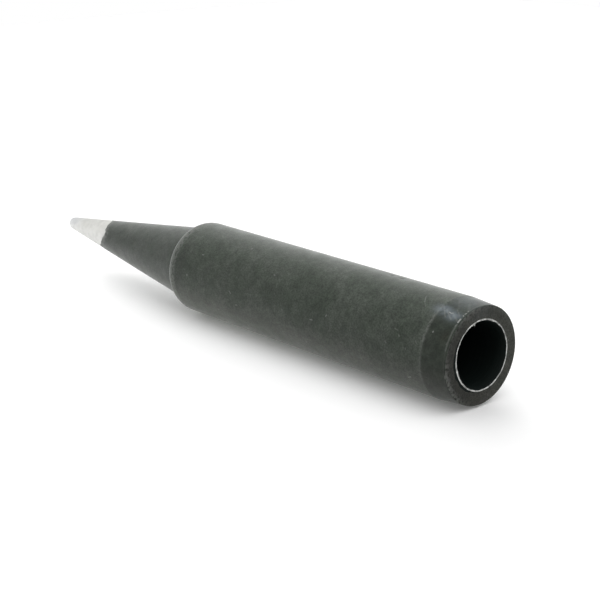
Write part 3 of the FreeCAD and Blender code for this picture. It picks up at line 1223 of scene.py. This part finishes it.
@dataclass
class Studio:
    """Pale surfaces, soft light and the photograph's camera."""

    form: TipForm
    table_facing_deg: float = 170.0
    table_size_m: float = 0.4
    table_gap_mm: float = 0.01
    table_albedo: float = 0.95
    table_glow: float = 0.10
    floor_size_m: float = 0.46
    floor_drop_mm: float = 0.05
    floor_albedo: float = 0.72
    floor_glow: float = 0.34
    lamps: tuple[SoftBox, ...] = (
        SoftBox("soft_box_over", 150.0, -8.0, 0.44, 0.42),
        SoftBox("soft_box_rear_end", 172.0, -34.0, 0.22, 0.34),
        SoftBox("soft_box_point_end", 190.0, 45.0, 0.17, 0.42),
        SoftBox("soft_box_behind", 250.0, 60.0, 1.42, 0.34),
        SoftBox("table_bounce_near_point", 8.0, 0.0, 0.0066, 0.03, 0.03, 34.0),
    )
    sky_level: float = 0.24
    sky_top: float = 0.3

    def build(self) -> None:
        """Makes the surfaces, the light and the camera."""
        self.table()
        self.floor()
        for lamp in self.lamps:
            lamp.build()
        self.sky()
        PhotoCamera().build()

    def pale(self, name: str, albedo: float, glow: float) -> bpy.types.Material:
        """A pale matt material that shows from its front alone."""
        material, bench = new_material(name)
        matt = bench.add("ShaderNodeBsdfDiffuse", {"Color": (albedo, albedo, albedo, 1.0)})
        light = bench.add("ShaderNodeEmission", {"Color": (1.0, 1.0, 1.0, 1.0), "Strength": glow})
        both = bench.add("ShaderNodeAddShader", {0: matt.outputs[0], 1: light.outputs[0]})
        clear = bench.add("ShaderNodeBsdfTransparent")
        behind = bench.add("ShaderNodeNewGeometry").outputs["Backfacing"]
        shown = bench.add("ShaderNodeMixShader", {0: behind, 1: both.outputs[0], 2: clear.outputs[0]})
        bench.add("ShaderNodeOutputMaterial", {"Surface": shown.outputs[0]})
        return material

    def sheet(
        self, name: str, size_m: float, place: Matrix, material: bpy.types.Material, mirrored: bool
    ) -> None:
        """Makes a flat square that the camera sees, and that gloss shows too where it is mirrored."""
        half = size_m / 2.0
        corners = [(-half, -half, 0.0), (half, -half, 0.0), (half, half, 0.0), (-half, half, 0.0)]
        mesh = bpy.data.meshes.new(name)
        mesh.from_pydata(corners, [], [(0, 1, 2, 3)])
        mesh.materials.append(material)
        sheet = bpy.data.objects.new(name, mesh)
        sheet.matrix_world = place
        sheet.visible_diffuse = False
        sheet.visible_glossy = mirrored
        sheet.visible_transmission = False
        sheet.visible_shadow = False
        bpy.context.scene.collection.objects.link(sheet)

    def table(self) -> None:
        """The pale table that the tip lies on in the photograph, upright beside the standing tip."""
        facing = polar(self.table_facing_deg)
        turn = facing.to_track_quat("Z", "Y").to_matrix().to_4x4()
        place = Matrix.Translation(-facing * (self.form.barrel_radius + self.table_gap_mm) * MM) @ turn
        white = self.pale("table_white", self.table_albedo, self.table_glow)
        self.sheet("table", self.table_size_m, place, white, mirrored=True)

    def floor(self) -> None:
        """The pale floor under the standing tip."""
        place = Matrix.Translation((0.0, 0.0, -self.floor_drop_mm * MM))
        white = self.pale("floor_white", self.floor_albedo, self.floor_glow)
        self.sheet("floor", self.floor_size_m, place, white, mirrored=False)

    def sky(self) -> None:
        """A white surround for what is seen, and a softly graded one for the light."""
        world = bpy.data.worlds.new("white_tent")
        bpy.context.scene.world = world
        world.use_nodes = True
        bench = NodeBench(world.node_tree)
        way = bench.add("ShaderNodeTexCoord").outputs["Generated"]
        top = bench.add("ShaderNodeSeparateXYZ", {0: way}).outputs["Z"]
        above = bench.math("MULTIPLY", bench.math("MAXIMUM", top, 0.0), self.sky_top)
        level = bench.math("ADD", above, self.sky_level)
        graded = bench.add("ShaderNodeBackground", {"Color": (1.0, 1.0, 1.0, 1.0), "Strength": level})
        white = bench.add("ShaderNodeBackground", {"Color": (1.0, 1.0, 1.0, 1.0), "Strength": 1.0})
        rays = bench.add("ShaderNodeLightPath")
        seen = bench.math("MAXIMUM", rays.outputs["Is Camera Ray"], rays.outputs["Is Glossy Ray"])
        seen = bench.math("MAXIMUM", seen, rays.outputs["Is Transmission Ray"])
        both = bench.add("ShaderNodeMixShader", {0: seen, 1: graded.outputs[0], 2: white.outputs[0]})
        bench.add("ShaderNodeOutputWorld", {"Surface": both.outputs[0]})


@dataclass(frozen=True)
class PhotoCamera:
    """The photograph's view: from beside the standing tip and below it, rolled onto its side."""

    turn_deg: float = 104.4
    distance_mm: float = 68.47
    height_mm: float = -54.38
    aim_past_axis_deg: float = 0.156
    aim_rise_deg: float = 45.84
    roll_deg: float = -71.87
    lens_mm: float = 87.81
    sensor_mm: float = 36.0
    nearest_m: float = 0.001
    farthest_m: float = 10.0

    def build(self) -> None:
        """Makes the camera and gives it to the scene."""
        aim_turn = self.turn_deg + 180.0 + self.aim_past_axis_deg
        rise = math.radians(self.aim_rise_deg)
        forward = polar(aim_turn, math.cos(rise), math.sin(rise))
        level = forward.cross(Vector((0.0, 0.0, 1.0))).normalized()
        upright = level.cross(forward)
        roll = math.radians(self.roll_deg)
        right = level * math.cos(roll) + upright * math.sin(roll)
        up = right.cross(forward)
        turn = Matrix((right, up, -forward)).transposed().to_4x4()
        data = bpy.data.cameras.new("photo_camera")
        data.lens = self.lens_mm
        data.sensor_width = self.sensor_mm
        data.clip_start = self.nearest_m
        data.clip_end = self.farthest_m
        camera = bpy.data.objects.new("photo_camera", data)
        place = polar(self.turn_deg, self.distance_mm, self.height_mm) * MM
        camera.matrix_world = Matrix.Translation(place) @ turn
        bpy.context.scene.collection.objects.link(camera)
        bpy.context.scene.camera = camera


def main() -> None:
    """Builds the tip's pieces in order, then the studio."""
    logging.basicConfig(level=logging.INFO, format="%(message)s")
    form = TipForm.from_frame()
    mouth = MouthEdge(form)
    point = TinnedPoint(form)
    body = CoatedBody(form, point.edge_line)
    for piece in (body.build(mouth), point.build(body.lean), mouth.build()):
        logger.info("%s: %d faces", piece.name, len(piece.data.polygons))
    Studio(form).build()
    bpy.context.scene.view_settings.view_transform = "Standard"


if __name__ == "__main__":
    main()
